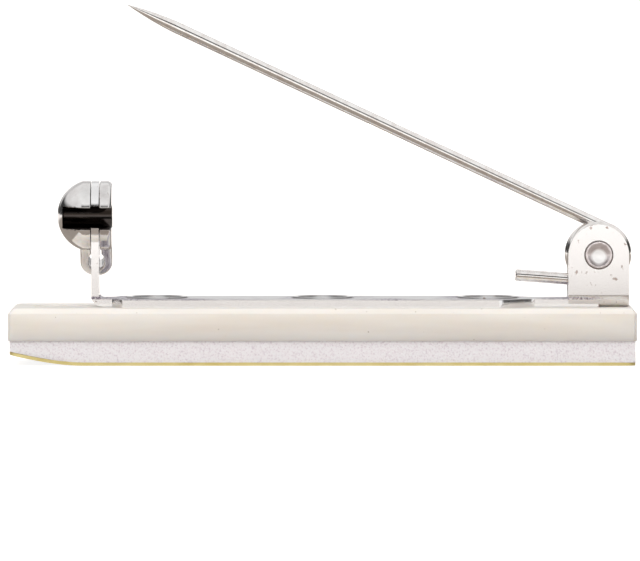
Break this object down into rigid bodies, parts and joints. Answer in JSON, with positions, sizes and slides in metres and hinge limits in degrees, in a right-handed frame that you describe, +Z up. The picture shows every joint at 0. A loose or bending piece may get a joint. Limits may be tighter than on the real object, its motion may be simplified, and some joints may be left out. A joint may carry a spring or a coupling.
{
  "type": "brooch pin finding",
  "caption": "Adhesive bar brooch back: plastic bar with stamped steel plate, riveted spring pin and a catch with a rotating lock.",
  "frame": {"origin": "centre of the underside of the release liner, at the middle of the whole part's box", "axes": "+X along the bar towards the hinge, +Z up away from the adhesive, the catch mouth faces -Y"},
  "size_m": [0.038, 0.0076, 0.0218],
  "materials": {
    "plastic_bar": "milky translucent moulded plastic, satin",
    "foam_tape": "fine open foam",
    "liner_paper": "waxed paper",
    "stamped_steel": "bright nickel plate with rolled grain",
    "rivet_steel": "satin",
    "spring_wire": "drawn wire, bright",
    "lock_nickel": "polished nickel plate"
  },
  "bodies": {
    "base": {"backing_bar": "plastic_bar", "foam_pad": "foam_tape", "release_liner": "liner_paper", "pin_plate": "stamped_steel", "hinge_rivet": "rivet_steel"},
    "spring": {"spring_tail": "spring_wire"},
    "pin": {"pin_stem": "spring_wire"},
    "lock": {"catch_lock": "lock_nickel"}
  },
  "joints": [
    {"name": "pin_side", "type": "hinge", "parent": "base", "child": "spring", "pos_m": [0.01676, 0, 0.00662], "axis": [0, 0, 1], "range_deg": [-5.2, 0]},
    {"name": "pin_swing", "type": "hinge", "parent": "spring", "child": "pin", "pos_m": [0.01676, 0, 0.00662], "axis": [-0.0906, 0.9959, 0], "range_deg": [-23.71, 63]},
    {"name": "lock_turn", "type": "hinge", "parent": "base", "child": "lock", "pos_m": [-0.0138, 0, 0.00895], "axis": [-1, 0, 0], "range_deg": [-206, 0]}
  ]
}
